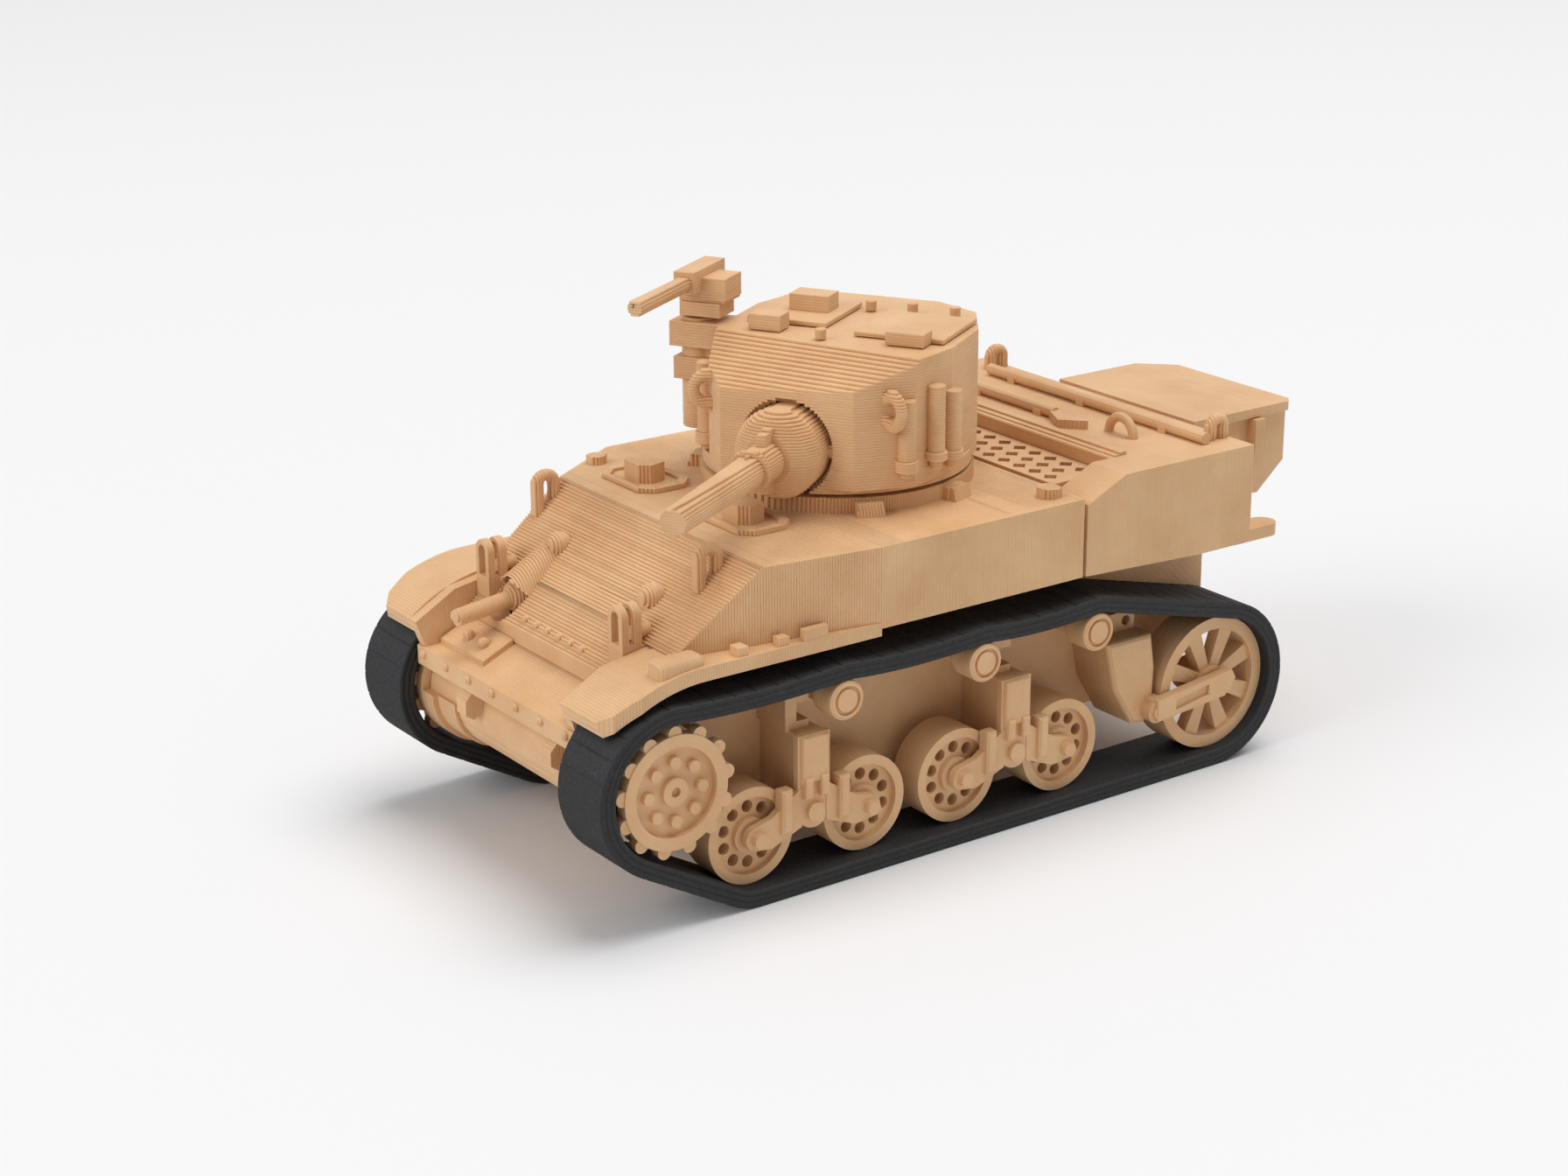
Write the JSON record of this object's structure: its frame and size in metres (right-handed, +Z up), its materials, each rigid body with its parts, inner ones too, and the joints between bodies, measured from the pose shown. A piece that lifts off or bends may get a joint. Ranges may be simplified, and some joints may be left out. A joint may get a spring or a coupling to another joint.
{
  "type": "rc tank",
  "caption": "Small layer-printed radio-controlled light tank with rubber tracks, fixed bogies, a turning turret, an elevating gun and a gear drive inside.",
  "frame": {"origin": "centre of the overall box on the ground plane under the tracks", "axes": "forward is -Y, the tank's left side is +X, up is +Z"},
  "size_m": [0.0312, 0.0676, 0.0372],
  "materials": {
    "printed_tan": "layer-printed plastic with fine ribs, matte with a soft sheen",
    "track_belt": "flexible printed belt, matte black with faint layer lines",
    "cell_pouch": "soft foil pouch",
    "circuit_board": "green solder mask",
    "switch_plastic": "black moulded",
    "screw_steel": "zinc-plated",
    "motor_can": "drawn can",
    "pinion_brass": "machined",
    "gear_nylon": "moulded natural nylon"
  },
  "bodies": {
    "hull": {"lower_hull": "printed_tan", "upper_hull": "printed_tan", "fender_left": "printed_tan", "fender_right": "printed_tan", "nose_cover": "printed_tan", "final_drive_left": "printed_tan", "final_drive_right": "printed_tan", "tow_hooks": "printed_tan", "driver_hatch_left": "printed_tan", "driver_hatch_right": "printed_tan", "lift_loops": "printed_tan", "headlights": "printed_tan", "bow_gun": "printed_tan", "engine_deck": "printed_tan", "deck_grille": "printed_tan", "deck_tools": "printed_tan", "stowage_box": "printed_tan", "stowage_lid": "printed_tan", "battery": "cell_pouch", "receiver_board": "circuit_board", "power_switch": "switch_plastic", "hull_screws": "screw_steel", "track_left": "track_belt", "track_right": "track_belt", "drive_motor_left": "motor_can", "drive_motor_right": "motor_can", "idler_arm_left": "printed_tan", "idler_arm_right": "printed_tan", "front_bogie_left": "printed_tan", "front_bogie_right": "printed_tan", "rear_bogie_left": "printed_tan", "rear_bogie_right": "printed_tan"},
    "sprocket_left": {"sprocket_left": "printed_tan", "drive_gear_left": "gear_nylon"},
    "pinion_left": {"motor_pinion_left": "pinion_brass"},
    "road_wheel_1_left": {"road_wheel_1_left": "printed_tan"},
    "road_wheel_2_left": {"road_wheel_2_left": "printed_tan"},
    "road_wheel_3_left": {"road_wheel_3_left": "printed_tan"},
    "road_wheel_4_left": {"road_wheel_4_left": "printed_tan"},
    "return_roller_1_left": {"return_roller_1_left": "printed_tan"},
    "return_roller_2_left": {"return_roller_2_left": "printed_tan"},
    "return_roller_3_left": {"return_roller_3_left": "printed_tan"},
    "idler_left": {"idler_wheel_left": "printed_tan"},
    "sprocket_right": {"sprocket_right": "printed_tan", "drive_gear_right": "gear_nylon"},
    "pinion_right": {"motor_pinion_right": "pinion_brass"},
    "road_wheel_1_right": {"road_wheel_1_right": "printed_tan"},
    "road_wheel_2_right": {"road_wheel_2_right": "printed_tan"},
    "road_wheel_3_right": {"road_wheel_3_right": "printed_tan"},
    "road_wheel_4_right": {"road_wheel_4_right": "printed_tan"},
    "return_roller_1_right": {"return_roller_1_right": "printed_tan"},
    "return_roller_2_right": {"return_roller_2_right": "printed_tan"},
    "return_roller_3_right": {"return_roller_3_right": "printed_tan"},
    "idler_right": {"idler_wheel_right": "printed_tan"},
    "turret": {"turret_shell": "printed_tan", "turret_hatches": "printed_tan"},
    "gun": {"main_gun": "printed_tan"},
    "roof_gun": {"roof_gun": "printed_tan"},
    "switch": {"switch_lever": "switch_plastic"}
  },
  "joints": [
    {"name": "sprocket_spin_left", "type": "hinge", "parent": "hull", "child": "sprocket_left", "pos_m": [0.013, -0.0279, 0.0097], "axis": [1, 0, 0], "continuous": true},
    {"name": "sprocket_spin_right", "type": "hinge", "parent": "hull", "child": "sprocket_right", "pos_m": [-0.013, -0.0279, 0.0097], "axis": [1, 0, 0], "continuous": true},
    {"name": "road_wheel_1_left_spin", "type": "hinge", "parent": "hull", "child": "road_wheel_1_left", "pos_m": [0.013, -0.02145, 0.00465], "axis": [1, 0, 0], "continuous": true},
    {"name": "road_wheel_2_left_spin", "type": "hinge", "parent": "hull", "child": "road_wheel_2_left", "pos_m": [0.013, -0.01215, 0.00465], "axis": [1, 0, 0], "continuous": true},
    {"name": "road_wheel_3_left_spin", "type": "hinge", "parent": "hull", "child": "road_wheel_3_left", "pos_m": [0.013, -0.0041, 0.00465], "axis": [1, 0, 0], "continuous": true},
    {"name": "road_wheel_4_left_spin", "type": "hinge", "parent": "hull", "child": "road_wheel_4_left", "pos_m": [0.013, 0.0052, 0.00465], "axis": [1, 0, 0], "continuous": true},
    {"name": "return_roller_1_left_spin", "type": "hinge", "parent": "hull", "child": "return_roller_1_left", "pos_m": [0.013, -0.01445, 0.01295], "axis": [1, 0, 0], "continuous": true},
    {"name": "return_roller_2_left_spin", "type": "hinge", "parent": "hull", "child": "return_roller_2_left", "pos_m": [0.013, -0.00265, 0.01295], "axis": [1, 0, 0], "continuous": true},
    {"name": "return_roller_3_left_spin", "type": "hinge", "parent": "hull", "child": "return_roller_3_left", "pos_m": [0.013, 0.00755, 0.01295], "axis": [1, 0, 0], "continuous": true},
    {"name": "idler_left_spin", "type": "hinge", "parent": "hull", "child": "idler_left", "pos_m": [0.013, 0.01945, 0.00625], "axis": [1, 0, 0], "continuous": true},
    {"name": "pinion_left_spin", "type": "hinge", "parent": "hull", "child": "pinion_left", "pos_m": [0.008, -0.0244, 0.0097], "axis": [1, 0, 0], "continuous": true},
    {"name": "road_wheel_1_right_spin", "type": "hinge", "parent": "hull", "child": "road_wheel_1_right", "pos_m": [-0.013, -0.02145, 0.00465], "axis": [1, 0, 0], "continuous": true},
    {"name": "road_wheel_2_right_spin", "type": "hinge", "parent": "hull", "child": "road_wheel_2_right", "pos_m": [-0.013, -0.01215, 0.00465], "axis": [1, 0, 0], "continuous": true},
    {"name": "road_wheel_3_right_spin", "type": "hinge", "parent": "hull", "child": "road_wheel_3_right", "pos_m": [-0.013, -0.0041, 0.00465], "axis": [1, 0, 0], "continuous": true},
    {"name": "road_wheel_4_right_spin", "type": "hinge", "parent": "hull", "child": "road_wheel_4_right", "pos_m": [-0.013, 0.0052, 0.00465], "axis": [1, 0, 0], "continuous": true},
    {"name": "return_roller_1_right_spin", "type": "hinge", "parent": "hull", "child": "return_roller_1_right", "pos_m": [-0.013, -0.01445, 0.01295], "axis": [1, 0, 0], "continuous": true},
    {"name": "return_roller_2_right_spin", "type": "hinge", "parent": "hull", "child": "return_roller_2_right", "pos_m": [-0.013, -0.00265, 0.01295], "axis": [1, 0, 0], "continuous": true},
    {"name": "return_roller_3_right_spin", "type": "hinge", "parent": "hull", "child": "return_roller_3_right", "pos_m": [-0.013, 0.00755, 0.01295], "axis": [1, 0, 0], "continuous": true},
    {"name": "idler_right_spin", "type": "hinge", "parent": "hull", "child": "idler_right", "pos_m": [-0.013, 0.01945, 0.00625], "axis": [1, 0, 0], "continuous": true},
    {"name": "pinion_right_spin", "type": "hinge", "parent": "hull", "child": "pinion_right", "pos_m": [-0.008, -0.0244, 0.0097], "axis": [1, 0, 0], "continuous": true},
    {"name": "turret_traverse", "type": "hinge", "parent": "hull", "child": "turret", "pos_m": [0, -0.00375, 0.024], "axis": [0, 0, 1], "continuous": true},
    {"name": "gun_elevation", "type": "hinge", "parent": "turret", "child": "gun", "pos_m": [0.00433, -0.01095, 0.0272], "axis": [-0.8572, -0.515, 0], "range_deg": [-6, 15]},
    {"name": "roof_gun_swivel", "type": "hinge", "parent": "turret", "child": "roof_gun", "pos_m": [-0.00828, -0.00977, 0.0336], "axis": [0, 0, 1], "continuous": true},
    {"name": "power_switch_slide", "type": "slide", "parent": "hull", "child": "switch", "axis": [0, 1, 0], "range_m": [0, 0.0018]}
  ],
  "couplings": [
    {"joint": "road_wheel_1_left_spin", "follows": "sprocket_spin_left", "ratio": 1.3623},
    {"joint": "road_wheel_2_left_spin", "follows": "sprocket_spin_left", "ratio": 1.3623},
    {"joint": "road_wheel_3_left_spin", "follows": "sprocket_spin_left", "ratio": 1.3623},
    {"joint": "road_wheel_4_left_spin", "follows": "sprocket_spin_left", "ratio": 1.3623},
    {"joint": "return_roller_1_left_spin", "follows": "sprocket_spin_left", "ratio": 3.2414},
    {"joint": "return_roller_2_left_spin", "follows": "sprocket_spin_left", "ratio": 3.2414},
    {"joint": "return_roller_3_left_spin", "follows": "sprocket_spin_left", "ratio": 3.2414},
    {"joint": "idler_left_spin", "follows": "sprocket_spin_left", "ratio": 0.93069},
    {"joint": "pinion_left_spin", "follows": "sprocket_spin_left", "ratio": -2.5},
    {"joint": "road_wheel_1_right_spin", "follows": "sprocket_spin_right", "ratio": 1.3623},
    {"joint": "road_wheel_2_right_spin", "follows": "sprocket_spin_right", "ratio": 1.3623},
    {"joint": "road_wheel_3_right_spin", "follows": "sprocket_spin_right", "ratio": 1.3623},
    {"joint": "road_wheel_4_right_spin", "follows": "sprocket_spin_right", "ratio": 1.3623},
    {"joint": "return_roller_1_right_spin", "follows": "sprocket_spin_right", "ratio": 3.2414},
    {"joint": "return_roller_2_right_spin", "follows": "sprocket_spin_right", "ratio": 3.2414},
    {"joint": "return_roller_3_right_spin", "follows": "sprocket_spin_right", "ratio": 3.2414},
    {"joint": "idler_right_spin", "follows": "sprocket_spin_right", "ratio": 0.93069},
    {"joint": "pinion_right_spin", "follows": "sprocket_spin_right", "ratio": -2.5}
  ]
}
